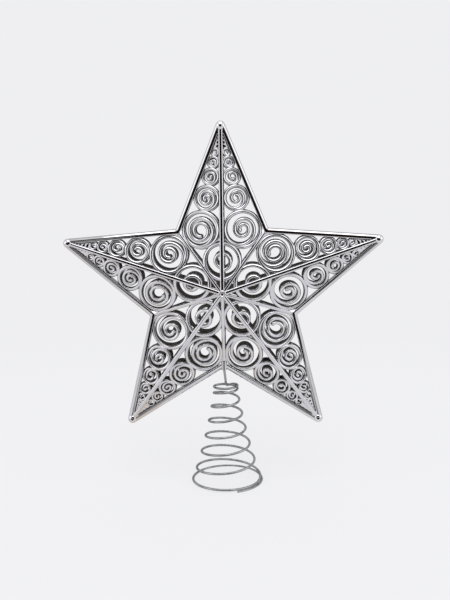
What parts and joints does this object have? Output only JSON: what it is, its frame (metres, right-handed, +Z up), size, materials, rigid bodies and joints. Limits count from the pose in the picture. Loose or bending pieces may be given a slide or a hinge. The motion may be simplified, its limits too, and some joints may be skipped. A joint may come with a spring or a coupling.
{
  "type": "christmas tree topper star",
  "caption": "Openwork silver star for the top of a Christmas tree: ribbed front and rear shells filled with scroll grilles, on a conical wire spring that slips over the tree's leader.",
  "frame": {"origin": "centre of the spring's lowest turn, on the plane it stands on", "axes": "+Z up along the spring's axis to the star's upper point, +X to the right seen from the front, -Y the way the front of the star faces"},
  "size_m": [0.2002, 0.0479, 0.2298],
  "materials": {
    "silvered_plastic": "polished",
    "spring_wire": "satin"
  },
  "bodies": {
    "spring": {"tree_spring": "spring_wire"},
    "star": {"front_frame": "silvered_plastic", "front_scroll_left_lower": "silvered_plastic", "front_scroll_left_upper": "silvered_plastic", "front_scroll_lower_left_inner": "silvered_plastic", "front_scroll_lower_left_outer": "silvered_plastic", "front_scroll_lower_right_inner": "silvered_plastic", "front_scroll_lower_right_outer": "silvered_plastic", "front_scroll_right_lower": "silvered_plastic", "front_scroll_right_upper": "silvered_plastic", "front_scroll_top_left": "silvered_plastic", "front_scroll_top_right": "silvered_plastic", "rear_frame": "silvered_plastic", "rear_scroll_left_lower": "silvered_plastic", "rear_scroll_left_upper": "silvered_plastic", "rear_scroll_lower_left_inner": "silvered_plastic", "rear_scroll_lower_left_outer": "silvered_plastic", "rear_scroll_lower_right_inner": "silvered_plastic", "rear_scroll_lower_right_outer": "silvered_plastic", "rear_scroll_right_lower": "silvered_plastic", "rear_scroll_right_upper": "silvered_plastic", "rear_scroll_top_left": "silvered_plastic", "rear_scroll_top_right": "silvered_plastic"}
  },
  "joints": [
    {"name": "spring_travel", "type": "slide", "parent": "spring", "child": "star", "axis": [0, 0, 1], "range_m": [-0.03, 0.012], "stiffness_N_per_m": 225, "springref_m": 0.00223, "deforming": ["tree_spring"]}
  ]
}
